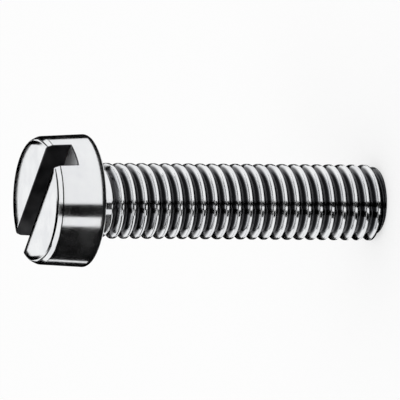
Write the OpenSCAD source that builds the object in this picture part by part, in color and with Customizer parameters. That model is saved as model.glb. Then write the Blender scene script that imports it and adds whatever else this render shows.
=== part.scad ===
// Slotted cheese head machine screw, M5 x 20, right-hand coarse thread, in millimetres.
// The origin is the centre of the bearing face under the head. +Z is the screw's axis,
// towards the head, and X runs along the slot. The screw stands on its flat end.

/* [Head] */
// Diameter of the head at its bearing face, where it is widest.
head_d = 8.5; // [7.5:0.1:10]
// Height of the head, from the bearing face to the slotted face.
head_h = 3.3; // [2.6:0.1:4.5]
// Lean of the head's side towards the slotted face, in degrees.
head_draft = 2.75; // [0:0.25:5]
// Width of the chamfer round the slotted face, across the face.
rim_w = 0.18; // [0.12:0.02:0.3]
// Height of the same chamfer, along the axis.
rim_h = 0.38; // [0.3:0.02:0.6]
// Radius that rounds the chamfer's edge at the slotted face.
face_round = 0.22; // [0.05:0.01:0.25]
// Radius that rounds the chamfer's edge at the head's side.
side_round = 0.3; // [0.05:0.05:0.35]
// Radius of the fillet between the bearing face and the neck.
fillet_r = 0.2; // [0.1:0.05:0.25]

/* [Slot] */
// Width of the driver slot.
slot_w = 1.8; // [1:0.1:2.4]
// Depth of the driver slot below the slotted face.
slot_depth = 1.6; // [1:0.1:2]

/* [Thread] */
// Nominal diameter of the thread.
thread_d = 5; // [4.5:0.1:5.5]
// Distance from one turn of the thread to the next.
pitch = 0.8; // [0.7:0.05:0.9]
// Angle between the two flanks of one groove.
flank_angle = 60; // [55:1:62]
// Width of the flat along the top of the ridge, which sets the diameter over the crests.
crest_flat = 0.19; // [0.16:0.01:0.22]
// Width of the flat along the bottom of the groove, which sets the root diameter.
root_flat = 0.13; // [0.1:0.01:0.18]
// Length of the shank, from the bearing face to the end, by which the screw is called.
shank_len = 20; // [10:1:30]
// Length of the plain neck between the bearing face and the first full turn.
neck_len = 1.2; // [1.2:0.1:2]
// Height of the cone between the neck and the crests.
shoulder_h = 0.2; // [0.1:0.05:0.3]
// Share of a turn over which the groove rises out of the neck.
run_out = 0.5; // [0.3:0.1:0.6]
// How far past the end the groove starts, which sets where it meets the end face.
lead_in = 0.49; // [0.4:0.01:1.2]

/* [End] */
// Width of the chamfer round the flat end, in from the crests.
end_w = 0.27; // [0.1:0.01:0.4]
// Height of the same chamfer, along the axis.
end_h = 0.3; // [0.15:0.05:0.5]

/* [Hidden] */
// Radii of the head at its bearing face, below its chamfer and at its slotted face.
head_r = head_d / 2;
side_top_r = head_r - (head_h - rim_h) * tan(head_draft);
face_r = side_top_r - rim_w;

// The flanks would meet in sharp edges this far apart, measured across the axis.
sharp_height = pitch / 2 / tan(flank_angle / 2);

// At the pitch radius the groove and the ridge are equally wide. A metric thread has it
// this share of the sharp height inside the nominal diameter. The neck is as thick.
pitch_share = 3 / 8;
pitch_r = thread_d / 2 - sharp_height * pitch_share;
neck_r = pitch_r;

// Radii at which the flanks reach the flats along the ridge and along the groove.
crest_r = pitch_r + (pitch / 2 - crest_flat) / 2 / tan(flank_angle / 2);
root_r = pitch_r - (pitch / 2 - root_flat) / 2 / tan(flank_angle / 2);
end_r = crest_r - end_w;

// The groove is cut to this far outside the crests, and its facets are this many a turn.
cut_past = 0.1;
groove_r = crest_r + cut_past;
facets = 36;

// Facets round the turned outline and round the fillet's circle, and along a rounded edge.
turned_facets = 96;
fillet_facets = 48;
edge_facets = 5;

// How far the slot is cut past the head on every open side.
slot_past = 1;

// The groove climbs from below the end to the neck, where it has risen out of the metal.
groove_top = -neck_len + run_out * pitch;
groove_turns = (shank_len + lead_in + groove_top) / pitch;
groove_steps = round(groove_turns * facets);
run_out_steps = run_out * facets;
run_out_rise = neck_r - root_r + cut_past;

// Half the width of the groove at a radius.
function groove_half(r) = pitch / 4 + (r - pitch_r) * tan(flank_angle / 2);

// How far the groove has risen by one of its steps: not at all until the run-out.
function rise(i) = run_out_rise * max(0, 1 - (groove_steps - i) / run_out_steps);

// The four corners of the groove's section at one step, as radius and height.
function section(i) = let(z = pitch * i / facets - shank_len - lead_in, up = rise(i)) [
    [root_r + up, z - groove_half(root_r)],
    [groove_r + up, z - groove_half(groove_r)],
    [groove_r + up, z + groove_half(groove_r)],
    [root_r + up, z + groove_half(root_r)]
];

// The helical groove as one closed solid: a ring of four corners at every step,
// joined to the next by two triangles a side, and closed by two at each end.
module groove() {
    corners = len(section(0));
    points = [for (i = [0:groove_steps]) let(a = 360 * i / facets) for (q = section(i))
        [q.x * cos(a), q.x * sin(a), q.y]];
    sides = [for (i = [0:groove_steps - 1]) for (j = [0:corners - 1])
        let(a = i * corners + j, b = i * corners + (j + 1) % corners)
        each [[a, b, a + corners], [b, b + corners, a + corners]]];
    last = groove_steps * corners;
    ends = [[0, 2, 1], [0, 3, 2], [last, last + 1, last + 2], [last, last + 2, last + 3]];
    polyhedron(points = points, faces = concat(sides, ends), convexity = 10);
}

// Points that round the corner b of the path from a through b to c. They lie on the circle
// that touches both of its sides, and turn evenly from one touching point to the other.
function rounded(a, b, c, radius) = let(
    back = (a - b) / norm(a - b),
    on = (c - b) / norm(c - b),
    half = acos(back * on) / 2,
    turn = 180 - 2 * half,
    centre = b + (back + on) / norm(back + on) * radius / sin(half),
    start = b + back * radius / tan(half) - centre,
    stop = b + on * radius / tan(half) - centre
) [for (i = [0:edge_facets])
    let(past = turn * i / edge_facets)
    centre + (sin(turn - past) * start + sin(past) * stop) / sin(turn)];

// Half of the turned outline, from the end up to the slotted face.
module outline() {
    rim = [head_r, 0];
    side_top = [side_top_r, head_h - rim_h];
    face_edge = [face_r, head_h];
    face_centre = [0, head_h];
    up_to_rim = [
        [0, -shank_len],
        [end_r, -shank_len],
        [crest_r, end_h - shank_len],
        [crest_r, -neck_len - shoulder_h],
        [neck_r, -neck_len],
        [neck_r, 0],
        rim
    ];
    side_arc = rounded(rim, side_top, face_edge, side_round);
    face_arc = rounded(side_top, face_edge, face_centre, face_round);
    polygon(concat(up_to_rim, side_arc, face_arc, [face_centre]));
}

// The concave fillet in the corner between the neck and the bearing face.
module neck_fillet() {
    difference() {
        translate([neck_r, -fillet_r]) square(fillet_r);
        translate([neck_r + fillet_r, -fillet_r]) circle(r = fillet_r, $fn = fillet_facets);
    }
}

// The straight slot across the whole head.
module slot() {
    translate([-head_r - slot_past, -slot_w / 2, head_h - slot_depth])
        cube([head_d + 2 * slot_past, slot_w, slot_depth + slot_past]);
}

// The screw, turned and threaded from one blank.
module screw() {
    color([0.78, 0.79, 0.8])
        difference() {
            rotate_extrude($fn = turned_facets) {
                outline();
                neck_fillet();
            }
            groove();
            slot();
        }
}

screw();
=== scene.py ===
import math

import bmesh
import bpy
import numpy as np
from mathutils import Matrix, Vector


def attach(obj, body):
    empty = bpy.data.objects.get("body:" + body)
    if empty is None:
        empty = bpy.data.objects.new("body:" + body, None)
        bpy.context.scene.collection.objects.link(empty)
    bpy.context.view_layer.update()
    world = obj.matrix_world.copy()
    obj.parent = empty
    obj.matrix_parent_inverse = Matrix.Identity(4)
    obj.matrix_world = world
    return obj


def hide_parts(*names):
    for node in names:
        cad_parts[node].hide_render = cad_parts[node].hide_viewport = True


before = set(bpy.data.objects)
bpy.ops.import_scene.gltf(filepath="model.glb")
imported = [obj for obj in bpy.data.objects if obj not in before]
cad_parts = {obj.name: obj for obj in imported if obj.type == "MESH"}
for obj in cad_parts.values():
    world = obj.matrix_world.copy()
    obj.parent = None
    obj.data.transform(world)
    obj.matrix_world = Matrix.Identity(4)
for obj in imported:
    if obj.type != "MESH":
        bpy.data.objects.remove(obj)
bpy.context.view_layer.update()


# Camera
# The drawing has no perspective. It looks down on the standing screw by 21 degrees,
# from a side 46 degrees off the slot, and is turned so that the head lies to the left.
camera_round = math.radians(-46.0)
camera_lift = math.radians(21.2)
camera_away = 0.3
axis_drop = math.radians(0.39)
picture_width = 0.02555
picture_middle = -0.00802
middle_above_axis = 0.00009

towards_camera = Vector((
    math.cos(camera_lift) * math.cos(camera_round),
    math.cos(camera_lift) * math.sin(camera_round),
    math.sin(camera_lift),
))
across_axis = Vector((-math.sin(camera_round), math.cos(camera_round), 0))
down_axis = across_axis.cross(towards_camera)
picture_right = math.cos(axis_drop) * down_axis + math.sin(axis_drop) * across_axis
picture_up = math.cos(axis_drop) * across_axis - math.sin(axis_drop) * down_axis

camera_data = bpy.data.cameras.new("camera")
camera_data.type = "ORTHO"
camera_data.ortho_scale = picture_width
camera_data.clip_start = 0.001
camera_data.clip_end = 10
camera = bpy.data.objects.new("camera", camera_data)
bpy.context.collection.objects.link(camera)
turned = Matrix((picture_right, picture_up, towards_camera)).transposed()
looked_at = Vector((0, 0, picture_middle)) + picture_up * middle_above_axis
stands_at = looked_at + towards_camera * camera_away
camera.matrix_world = Matrix.Translation(stands_at) @ turned.to_4x4()
bpy.context.scene.camera = camera


# Screw
# One blank of steel: the cheese head is turned, the driver slot milled and the thread
# rolled. Bright zinc plating covers it, with painted shade in its colour: near black in the
# thread's grooves, on the end chamfer and on the slot's walls; the slot's floor is painted
# a little lighter.

# Sizes are in millimetres. Every surface is a grid of points, and the grids meet in the
# same points and are welded into one closed skin.
head_r = 4.25
head_h = 3.3
head_draft = math.radians(2.75)
rim_w = 0.18
rim_h = 0.38
side_round = 0.3
face_round = 0.22
rear_round = 0.06
fillet_r = 0.2
slot_half = 0.9
slot_floor = 1.7
edge_w = 0.06
thread_r = 2.5
pitch = 0.8
flank = math.tan(math.radians(30))
crest_flat = 0.19
crest_round = 0.07
root_flat = 0.13
shank_len = 20
neck_len = 1.2
neck_seam = -0.5
shoulder_h = 0.2
run_out = 0.5
run_out_clear = 0.1
lead_in = 0.49
end_w = 0.27
end_h = 0.3

side_top_r = head_r - (head_h - rim_h) * math.tan(head_draft)
face_r = side_top_r - rim_w
low_r = head_r - (slot_floor - edge_w) * math.tan(head_draft)
sharp_height = pitch / 2 / flank
neck_r = thread_r - sharp_height * 3 / 8
crest_r = neck_r + (pitch / 2 - crest_flat) / 2 / flank
root_r = neck_r - (pitch / 2 - root_flat) / 2 / flank
end_r = crest_r - end_w

cheek_steps = 70
gap_steps = 10
even_start = math.pi * gap_steps / (cheek_steps + gap_steps) / 2
edge_turn = np.radians([0, 30, 60, 90])[:, None]
nearly = 1e-4
millimetre = 0.001
weld_within = 3e-7
shortest_edge = 1e-8


def rounded_outline(corners, radii, steps=7):
    """A line through the corners as rows of radius and height. Each corner that has a
    radius is replaced by points on the circle that touches both of its sides: the centre
    lies on the bisector, and the points turn evenly from one touching point to the other."""
    corners = np.array(corners, float)
    pieces = [corners[:1]]
    for before, corner, after, radius in zip(corners, corners[1:], corners[2:], radii):
        one = (before - corner) / np.linalg.norm(before - corner)
        two = (after - corner) / np.linalg.norm(after - corner)
        half = math.acos(np.clip(one @ two, -1, 1)) / 2
        bisector = (one + two) / np.linalg.norm(one + two)
        centre = corner + bisector * radius / math.sin(half)
        start = corner + one * radius / math.tan(half) - centre
        stop = corner + two * radius / math.tan(half) - centre
        share = np.linspace(0, 1, steps)[:, None]
        full = math.pi - 2 * half
        arc = (np.sin((1 - share) * full) * start + np.sin(share * full) * stop) / math.sin(full)
        pieces.append(centre + arc)
    pieces.append(corners[-1:])
    return np.concatenate(pieces)


def turned_grid(radius, height, angle):
    """Points at the given radius, height and angle round the axis, as arrays that stretch
    to one shape: x is the radius times the cosine, y the radius times the sine."""
    return np.stack([radius * np.cos(angle), radius * np.sin(angle), height + 0 * angle], -1)


def ring_angles(start):
    """Angles once round the axis from start, for a slot whose corner stands at that angle:
    even steps over the first cheek, the gap, the second cheek and the gap again."""
    cheek_share = np.linspace(0, 1, cheek_steps + 1)[:-1] * (math.pi - 2 * start)
    gap_share = np.linspace(0, 1, gap_steps + 1)[:-1] * 2 * start
    half = np.concatenate([start + cheek_share, math.pi - start + gap_share])
    return np.concatenate([half, half + math.pi, [start + 2 * math.pi]])


def below_slot():
    """The head below the slot's broken edge, its bearing face, the fillet and the neck: the
    outline turned round the axis. The angles follow the slot down the side and round the
    rear rim, and are even from the fillet on."""
    line = rounded_outline(
        [[low_r, slot_floor - edge_w], [head_r, 0], [neck_r, 0], [neck_r, neck_seam]],
        [rear_round, fillet_r])
    down = np.array([0, 0.02, 0.25, 0.5, 0.75, 1])[:, None]
    side = line[0] + down * (line[1] - line[0])
    line = np.concatenate([side, line[2:]])
    radius, height = line[:, :1], line[:, 1:]
    nearer_neck = radius < (neck_r + head_r) / 2
    slotted = ring_angles(math.asin((slot_half + edge_w) / low_r))
    angle = np.where(nearer_neck, ring_angles(even_start), slotted)
    return turned_grid(radius, height, angle)


def above_slot():
    """Outline of a cheek from the slot's floor up the side, over the chamfer and in across
    the face to the slot's broken edge, as radius and height. Rows of the face stand at a
    power of their share of the way, so that they lie closer towards the slot."""
    line = rounded_outline(
        [[low_r, slot_floor - edge_w], [side_top_r, head_h - rim_h], [face_r, head_h],
         [slot_half + edge_w, head_h]],
        [side_round, face_round])
    side = np.linspace(line[0], line[1], 6)
    power = 0.7
    face = line[-2] + (line[-1] - line[-2]) * np.linspace(0, 1, 14)[:, None] ** power
    return np.concatenate([side, line[2:-2], face])


def cheek(line):
    """One cheek's outside. Each ring of the outline is kept where it stands clear of the
    slot: its angle runs from the slot's one end to the other, so the rings shrink to a
    point in the middle of the slot's edge."""
    radius, height = line[:, :1], line[:, 1:]
    start = np.arcsin(np.clip((slot_half + edge_w) / radius, -1, 1))
    share = np.linspace(0, 1, cheek_steps + 1)[None, :]
    return turned_grid(radius, height, start + (math.pi - 2 * start) * share)


def cheek_edge(line):
    """The broken edge between a cheek's outside and the slot's wall, a quarter circle
    carried along the outline. At each turn of the circle a point lies under the outside,
    square to it, by the width less the width times the cosine, and beside the wall by the
    width less the width times the sine. On the face it keeps its place along the slot."""
    along = np.gradient(line, axis=0)
    square = np.stack([along[:, 1], -along[:, 0]], -1)
    square /= np.linalg.norm(square, axis=1)[:, None]
    square[0] = 1, 0
    square[line[:, 1] > head_h - nearly] = 0, 1
    under = edge_w * (1 - np.cos(edge_turn))
    beside = edge_w * (1 - np.sin(edge_turn))
    radius = line[:, 0] - under * square[:, 0]
    held = slot_half + edge_w * (1 - square[:, 0] * np.sin(edge_turn))
    x = np.sqrt(np.clip(radius ** 2 - held ** 2, 0, None))
    z = line[:, 1] - under * square[:, 1]
    z[:, :1] = slot_floor - beside
    half = np.stack([x, slot_half + beside + 0 * x, z], -1)
    return np.concatenate([half, half[:, ::-1][:, 1:] * [-1, 1, 1]], 1)


def slot_columns(line):
    """Places along the slot, from 1 at one end to -1 at the other, where the rings of the
    face meet its edge: each ring's distance from the middle over that of the first."""
    edge = cheek_edge(line)[-1, : len(line)]
    half = edge[np.argmax(line[:, 1] > head_h - nearly):, 0]
    half = half / half[0]
    return np.concatenate([half, -half[::-1][1:]])


def slot_wall(line):
    """The wall of the slot under one cheek: a row at each height of its broken edge, which
    runs as far each way as the edge does there."""
    edge = cheek_edge(line)[-1, : len(line)]
    rows = np.argmax(line[:, 1] > head_h - nearly) + 1
    x = edge[:rows, :1] * slot_columns(line)
    return np.stack([x, slot_half + 0 * x, edge[:rows, 2:] + 0 * x], -1)


def floor_edge():
    """The broken edge between the slot's floor and the head's side at one end: the same
    quarter circle as at the cheeks, between the gap's points and the floor's."""
    start = math.asin((slot_half + edge_w) / low_r)
    across = np.sin(np.linspace(-start, start, gap_steps + 1)) / math.sin(start)
    beside = edge_w * (1 - np.sin(edge_turn))
    y = (slot_half + beside) * across
    x = np.sqrt((low_r - edge_w * (1 - np.cos(edge_turn))) ** 2 - y ** 2)
    return np.stack([x, y, slot_floor - beside + 0 * x], -1)


def slot_bottom(line):
    """The flat floor of the slot: a row across it at each point of its broken edge, as long
    as the head is wide there."""
    edge = floor_edge()[-1]
    x = edge[:, :1] * slot_columns(line)
    return np.stack([x, edge[:, 1:2] + 0 * x, slot_floor + 0 * x], -1)


def thread_form():
    """Half of one groove, as distance from its middle along the axis and radius. The bottom
    is a circle that touches both flanks, the ridge is flat with rounded corners, and the
    flanks between them lean 30 degrees."""
    turn = np.radians([0, 20, 40, 60])
    bottom_r = root_flat / 2 / flank
    bottom = np.stack([bottom_r * np.sin(turn), root_r + bottom_r * (1 - np.cos(turn))], -1)
    corner = pitch / 2 - crest_flat / 2 + crest_round * flank
    turn = np.radians([60, 45, 30, 15, 0])
    ridge = np.stack([corner - crest_round * np.sin(turn),
                      crest_r - crest_round * (1 - np.cos(turn))], -1)
    middle = np.linspace(bottom[-1], ridge[0], 4)[1:-1]
    return np.concatenate([bottom, middle, ridge, [[pitch / 2, crest_r]]])


def blank_radius(height):
    """Radius of the blank that the thread is rolled on, straight between the heights where
    it changes: the chamfer at the end, the crests, the shoulder and the neck."""
    heights = [-shank_len, end_h - shank_len, -neck_len - shoulder_h, -neck_len, 0]
    return np.interp(height, heights, [end_r, crest_r, crest_r, neck_r, neck_r])


def thread_radius(height, angle, form):
    """Radius of the shank at a height and an angle. The nearest groove is the one whose
    helix is within half a pitch. The radius is that of the form at this distance, raised
    over the last part of the helix until it clears the neck, and never above the blank."""
    turns = (height + shank_len + lead_in) / pitch - angle / (2 * math.pi)
    nearest = np.round(turns)
    away = np.abs(turns - nearest) * pitch
    along = nearest + angle / (2 * math.pi)
    last = (shank_len + lead_in - neck_len) / pitch + run_out
    rise = (neck_r - root_r + run_out_clear) * np.clip(1 - (last - along) / run_out, 0, 2)
    return np.minimum(blank_radius(height), np.interp(away, *form.T) + rise)


def threaded_shank():
    """The thread on a grid that climbs with the helix: each row keeps one place on the
    thread's form, and rises by one pitch in each turn. Rows past the end or the neck are
    held at its height, where they fall together."""
    form = thread_form()
    one = np.concatenate([-form[::-1, 0], form[1:-1, 0]])
    turns = np.arange(-2, math.ceil(shank_len / pitch) + 2)
    offset = (turns[:, None] * pitch + one[None, :]).reshape(-1, 1)
    angle = ring_angles(even_start)[None, :]
    height = offset + pitch * angle / (2 * math.pi) - shank_len - lead_in
    height = np.clip(height, -shank_len, neck_seam)
    angle = angle + 0 * height
    return turned_grid(thread_radius(height, angle, form), height, angle)


def flat_end(shank):
    """The end face: the shank's lowest ring, drawn in to its middle in even steps."""
    share = np.linspace(1, 0, 5)[:, None, None]
    return shank[:1] * [1, 1, 0] * share + [0, 0, -shank_len]


def grid_faces(rows, columns):
    """The four corners of each face of a grid whose points are counted row by row."""
    index = np.arange(rows * columns).reshape(rows, columns)
    corner = [index[:-1, :-1], index[1:, :-1], index[1:, 1:], index[:-1, 1:]]
    return np.stack(corner, -1).reshape(-1, 4)


outline = above_slot()
shank = threaded_shank()
opposite = np.array([-1, -1, 1])
outside = [below_slot(), cheek(outline), cheek(outline) * opposite, shank, flat_end(shank)]
walls = [slot_wall(outline), cheek_edge(outline), floor_edge()]
walls += [wall * opposite for wall in walls]
grids = outside + walls + [slot_bottom(outline)]
# Material 1 is painted shade on the slot's walls and broken edges; 2 is the slot's floor.
plating_and_painted_shade_kinds = [0] * len(outside) + [1] * len(walls) + [2]

points = np.concatenate([grid.reshape(-1, 3) for grid in grids])
faces = [grid_faces(*grid.shape[:2]) for grid in grids]
face_plating_and_shade = np.concatenate([np.full(len(quads), number) for quads, number in zip(faces, plating_and_painted_shade_kinds)])
first = np.cumsum([0] + [grid.shape[0] * grid.shape[1] for grid in grids])
faces = np.concatenate([quads + start for quads, start in zip(faces, first)])

mesh = bpy.data.meshes.new("cheese_head_screw")
mesh.from_pydata(points * millimetre, [], faces.tolist())
mesh.polygons.foreach_set("material_index", face_plating_and_shade.astype(np.int32))
skin = bmesh.new()
skin.from_mesh(mesh)
bmesh.ops.remove_doubles(skin, verts=skin.verts, dist=weld_within)
bmesh.ops.dissolve_degenerate(skin, edges=skin.edges, dist=shortest_edge)
bmesh.ops.recalc_face_normals(skin, faces=skin.faces)
skin.to_mesh(mesh)
skin.free()
mesh.shade_smooth()

# The slot's inner corners stay sharp when the shading is evened out.
place = np.empty(len(mesh.vertices) * 3)
mesh.vertices.foreach_get("co", place)
place = place.reshape(-1, 3) / millimetre
in_corner = np.abs(place[:, 2] - slot_floor) < nearly
in_corner &= np.abs(np.abs(place[:, 1]) - slot_half) < nearly
edge_ends = np.empty(len(mesh.edges) * 2, np.int32)
mesh.edges.foreach_get("vertices", edge_ends)
sharp = mesh.attributes.new("sharp_edge", "BOOLEAN", "EDGE")
sharp.data.foreach_set("value", in_corner[edge_ends.reshape(-1, 2)].all(1))

screw = bpy.data.objects.new("cheese_head_screw", mesh)
bpy.context.collection.objects.link(screw)
even = screw.modifiers.new("even_light", "WEIGHTED_NORMAL")
even.keep_sharp = True

# How far a point lies below the crests, from 0 to 1 at the groove's bottom: the plating's
# colour turns this into painted shade. It is 0 on the head, on the neck and inside the end
# face, whose rim keeps the value of its chamfer, so the chamfer is painted dark too.
groove = mesh.attributes.new("groove", "FLOAT", "POINT")
radius = np.hypot(place[:, 0], place[:, 1])
outside_root = radius > root_r - 0.01
painted_groove_shade = np.clip((crest_r - radius) / (crest_r - root_r), 0, 1) * outside_root
painted_groove_shade *= np.clip((-neck_len - place[:, 2]) / shoulder_h, 0, 1)
groove.data.foreach_set("value", painted_groove_shade.astype(np.float32))


def node(tree, kind, **values):
    """Adds a node of this kind to the tree, with its settings given by name."""
    made = tree.nodes.new(kind)
    for name, value in values.items():
        setattr(made, name, value)
    return made


def noise(tree, scale, detail, place):
    """A noise of this scale, which reads its place from the given output."""
    made = node(tree, "ShaderNodeTexNoise")
    made.inputs["Scale"].default_value = scale
    made.inputs["Detail"].default_value = detail
    tree.links.new(place, made.inputs["Vector"])
    return made.outputs["Fac"]


def ramp(tree, value, start, stop, low, high, kind="LINEAR"):
    """Turns a value between start and stop into one between low and high."""
    made = node(tree, "ShaderNodeMapRange", interpolation_type=kind)
    made.inputs["From Min"].default_value = start
    made.inputs["From Max"].default_value = stop
    made.inputs["To Min"].default_value = low
    made.inputs["To Max"].default_value = high
    tree.links.new(value, made.inputs["Value"])
    return made.outputs["Result"]


def zinc_plating_and_painted_shade(name, light, dull, roughness, along_slot):
    """Plated steel. Fine marks follow a noise that reads radius and height, so they run round
    the axis, or one that reads across the slot and height, so they run along it. A second,
    wide noise makes the plating cloudy in colour and gloss. The groove's depth paints shade
    into the colour: near black toward the grooves' bottom and on the end chamfer."""
    material = bpy.data.materials.new(name)
    material.use_nodes = True
    tree = material.node_tree
    link = tree.links.new
    shader = tree.nodes["Principled BSDF"]
    shader.inputs["Metallic"].default_value = 1
    place = node(tree, "ShaderNodeTexCoord").outputs["Object"]
    split = node(tree, "ShaderNodeSeparateXYZ")
    link(place, split.inputs[0])
    flat = node(tree, "ShaderNodeVectorMath", operation="MULTIPLY")
    flat.inputs[1].default_value = (1, 1, 0)
    link(place, flat.inputs[0])
    radius = node(tree, "ShaderNodeVectorMath", operation="LENGTH")
    link(flat.outputs[0], radius.inputs[0])
    marks_at = node(tree, "ShaderNodeCombineXYZ")
    link(split.outputs["Y"] if along_slot else radius.outputs["Value"], marks_at.inputs["X"])
    link(split.outputs["Z"], marks_at.inputs["Y"])
    marks = noise(tree, 9000, 3, marks_at.outputs[0])
    cloud = noise(tree, 700, 5, place)
    colour = node(tree, "ShaderNodeMix", data_type="RGBA")
    colour.inputs["A"].default_value = (*dull, 1)
    colour.inputs["B"].default_value = (*light, 1)
    link(ramp(tree, cloud, 0.35, 0.6, 0, 1), colour.inputs["Factor"])
    depth = node(tree, "ShaderNodeAttribute", attribute_name="groove").outputs["Fac"]
    # Painted shade: the colour is mixed towards near black by the groove's depth.
    shade = node(tree, "ShaderNodeMix", data_type="RGBA")
    shade.inputs["B"].default_value = (0.05, 0.05, 0.055, 1)
    link(ramp(tree, depth, 0.14, 0.57, 0, 0.95, "SMOOTHSTEP"), shade.inputs["Factor"])
    link(colour.outputs["Result"], shade.inputs["A"])
    link(shade.outputs["Result"], shader.inputs["Base Color"])
    gloss = ramp(tree, cloud, 0.3, 0.7, roughness - 0.03, roughness + 0.06)
    link(gloss, shader.inputs["Roughness"])
    bump = node(tree, "ShaderNodeBump")
    bump.inputs["Strength"].default_value = 0.25
    bump.inputs["Distance"].default_value = 0.000004
    link(marks, bump.inputs["Height"])
    link(bump.outputs["Normal"], shader.inputs["Normal"])
    return material


mesh.materials.append(
    zinc_plating_and_painted_shade("bright_zinc", (0.87, 0.88, 0.89), (0.78, 0.79, 0.81), 0.12, False))
# Painted shade: the slot's walls and their broken edges take a near-black copy of the plating.
mesh.materials.append(
    zinc_plating_and_painted_shade("slot_walls_painted_shade", (0.12, 0.12, 0.125), (0.06, 0.06, 0.065), 0.4, True))
# Painted light: the slot's floor takes a rougher copy of the plating, a little lighter than the
# outside because it faces up.
mesh.materials.append(
    zinc_plating_and_painted_shade("zinc_slot_floor_painted_light", (0.95, 0.95, 0.96), (0.85, 0.86, 0.87), 0.6, True))
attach(screw, "root")
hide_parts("screw")


# Floor and light
# A plain white floor at the screw's end, under an even white sky and one soft lamp. Metal
# shows only what it reflects, so dark cards stand round the screw, as in a studio: they
# are seen in its plating and nowhere else. Sizes are in metres.
floor_z = -0.02
floor_reach = 3


def plain_material(name, colour, glow):
    """A matt colour, of which the given share is its own light, so that it stays white."""
    material = bpy.data.materials.new(name)
    material.use_nodes = True
    tree = material.node_tree
    tree.nodes.clear()
    matt = node(tree, "ShaderNodeBsdfDiffuse")
    matt.inputs["Color"].default_value = (*colour, 1)
    own = node(tree, "ShaderNodeEmission")
    blend = node(tree, "ShaderNodeMixShader")
    blend.inputs["Fac"].default_value = glow
    out = node(tree, "ShaderNodeOutputMaterial")
    tree.links.new(matt.outputs[0], blend.inputs[1])
    tree.links.new(own.outputs[0], blend.inputs[2])
    tree.links.new(blend.outputs[0], out.inputs["Surface"])
    return material


def stage_sheet(name, grid, material):
    """A sheet of the stage through a grid of points."""
    sheet = bpy.data.meshes.new(name)
    sheet.from_pydata(grid.reshape(-1, 3), [], grid_faces(*grid.shape[:2]).tolist())
    sheet.materials.append(material)
    made = bpy.data.objects.new(name, sheet)
    bpy.context.collection.objects.link(made)
    return made


corners = np.array([[[-1, -1, 0], [-1, 1, 0]], [[1, -1, 0], [1, 1, 0]]]) * floor_reach
white_floor = plain_material("white_floor", (0.97, 0.97, 0.97), 0.6)
stage_sheet("floor", corners + [0, 0, floor_z], white_floor)
black_card = plain_material("black_card", (0, 0, 0), 0)


def dark_sheet(name, grid):
    """A black card through a grid of points, seen in glossy surfaces only."""
    card = stage_sheet(name, grid, black_card)
    card.visible_camera = False
    card.visible_diffuse = False
    card.visible_shadow = False
    card.visible_transmission = False


def dark_card(name, turn_from, turn_to, *line, behind=0):
    """A card swept round the axis between two turns in degrees, where 0 is the picture's
    upper side and 90 the viewer's: the line is the radii and heights that it passes
    through. It can stand some way behind the axis as the viewer sees it."""
    angle = camera_round + math.pi / 2 - np.radians(np.linspace(turn_from, turn_to, 24))
    line = np.array(line)
    grid = turned_grid(line[:, :1], line[:, 1:], angle)
    grid -= [behind * math.cos(camera_round), behind * math.sin(camera_round), 0]
    dark_sheet(name, grid)


def rim_ribbon(name, reach, width):
    """A ribbon that the head's rear rim reflects: each point of the rim, moved by the reach
    along the mirrored line of sight, and from there up and down by the width. Mirrored, the
    line is twice its share along the normal, times the normal, less the line itself."""
    angle = np.radians(np.linspace(-84, 84, 40))
    normal = np.stack([np.cos(angle), np.sin(angle), np.tan(head_draft) + 0 * angle], -1)
    normal *= math.cos(head_draft)
    sight = np.array([math.cos(camera_lift), 0, math.sin(camera_lift)])
    mirrored = 2 * (normal @ sight)[:, None] * normal - sight
    middle = turned_grid(head_r * millimetre, 0, angle) + mirrored * reach
    grid = np.stack([middle - [0, 0, width], middle + [0, 0, width]])
    dark_sheet(name, grid @ np.array(Matrix.Rotation(camera_round, 3, "Z")).T)


# The thread's crests mirror the floor near the screw, and the head's side mirrors it
# farther out. These cards give each its narrow and its wide dark band.
on_floor = floor_z + 0.00002
near_axis = 0.0005
thread_reach = 0.046
dark_card("card_thread_narrow", 88, 103, (near_axis, on_floor), (thread_reach, on_floor))
dark_card("card_thread_wide", 115, 135, (near_axis, on_floor), (thread_reach, on_floor))
dark_card("card_head_narrow", 96, 118, (thread_reach, on_floor), (0.07, on_floor), (0.07, 0.05))
dark_card("card_head_wide", 135, 218, (thread_reach, on_floor), (0.13, on_floor))

# These darken the sides that turn away from the viewer, and the foot.
back_r = 0.2
above_floor_cards = on_floor + 0.00001
dark_card("card_behind", 225, 315, (near_axis, on_floor), (back_r, on_floor), (back_r, 0.01))
dark_card("card_behind_low", 225, 255, (back_r, 0.01), (back_r, 0.05))
dark_card("card_behind_high", 285, 315, (back_r, 0.01), (back_r, 0.05))
dark_card("card_foot", 0, 360, (0.0004, above_floor_cards), (0.0035, above_floor_cards))

# A wall and a roof that the chamfer's rounded edges mirror as two thin lines.
wall_r = 0.12
roof_r = 0.115
roof_hole_r = 0.0001
roof_z = 0.09
over_roof = roof_z + 0.0001
dark_card("card_round_front", 60, 120, (wall_r, on_floor), (wall_r, 0.043))
dark_card("card_round_left", 120, 150, (wall_r, on_floor), (wall_r, 0.032))
dark_card("card_round_right", 30, 60, (wall_r, on_floor), (wall_r, 0.032))
dark_card("card_round_far_left", 150, 180, (wall_r, on_floor), (wall_r, 0.017))
dark_card("card_round_far_right", 0, 30, (wall_r, on_floor), (wall_r, 0.017))
dark_card("card_above_front", 0, 180, (roof_hole_r, roof_z), (roof_r, roof_z))
dark_card("card_above_low", 180, 270, (roof_hole_r, over_roof), (roof_r, over_roof))

# Small cards close to the head carry these lines on to the picture's upper and lower side,
# where a far card would also be seen in the thread.
ring_r = 0.006
dark_card("card_rim_low", 153, 208, (ring_r, 0.00233), (ring_r, 0.00285))
dark_card("card_rim_up", -28, 27, (ring_r, 0.00233), (ring_r, 0.00285))
dark_card("card_face_low", 153, 208, (ring_r, 0.0041), (ring_r, 0.0055))
dark_card("card_face_up", -28, 27, (ring_r, 0.0041), (ring_r, 0.0055))

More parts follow.
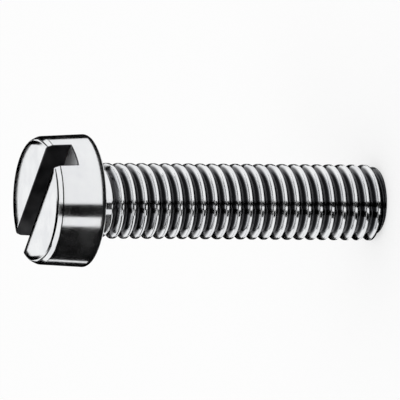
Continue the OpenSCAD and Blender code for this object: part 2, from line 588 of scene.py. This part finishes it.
# Low cards just over the face's edge and the slot, and a ribbon beside the rear rim, give
# these edges their dark outlines.
face_edge_r = 0.00387
over_face = 0.00331
step_back = 0.0005
dark_card("card_face_edge", 180, 360,
          (face_edge_r, over_face), (face_edge_r, 0.00379), behind=step_back)
dark_card("card_face_edge_low", 180, 202,
          (face_edge_r, over_face), (face_edge_r, 0.00445), behind=step_back)
dark_card("card_face_edge_up", 338, 360,
          (face_edge_r, over_face), (face_edge_r, 0.00445), behind=step_back)
slot_line = np.array([[[-1, -1, over_face], [1, -1, over_face]],
                      [[-1, -1, 0.00355], [1, -1, 0.00355]]])
dark_sheet("card_slot_edge", slot_line * [0.0037, 0.0008, 1])
rim_ribbon("card_rear_rim", 0.0009, 0.00025)

lamp_data = bpy.data.lights.new("soft_lamp", "AREA")
lamp_data.shape = "DISK"
lamp_data.size = 0.08
lamp_data.energy = 0.02
lamp = bpy.data.objects.new("soft_lamp", lamp_data)
lamp.location = (0.03, -0.09, 0.14)
lit_point = Vector((0, 0, -0.01))
lamp.rotation_euler = (lit_point - lamp.location).to_track_quat("-Z", "Y").to_euler()
lamp.visible_glossy = False
bpy.context.collection.objects.link(lamp)

# The sky is pure white where it is seen, straight or in the metal, and a little weaker
# where it lights.
world = bpy.data.worlds.new("white_sky")
bpy.context.scene.world = world
world.use_nodes = True
sky = world.node_tree
sky.nodes.clear()
path = node(sky, "ShaderNodeLightPath")
seen = node(sky, "ShaderNodeMath", operation="MAXIMUM")
sky.links.new(path.outputs["Is Camera Ray"], seen.inputs[0])
sky.links.new(path.outputs["Is Glossy Ray"], seen.inputs[1])
mix = node(sky, "ShaderNodeMixShader")
sky.links.new(seen.outputs[0], mix.inputs["Fac"])
for socket, strength in ((1, 0.95), (2, 1)):
    white = node(sky, "ShaderNodeBackground")
    white.inputs["Color"].default_value = (1, 1, 1, 1)
    white.inputs["Strength"].default_value = strength
    sky.links.new(white.outputs[0], mix.inputs[socket])
out = node(sky, "ShaderNodeOutputWorld")
sky.links.new(mix.outputs[0], out.inputs["Surface"])

bpy.context.scene.view_settings.view_transform = "Standard"
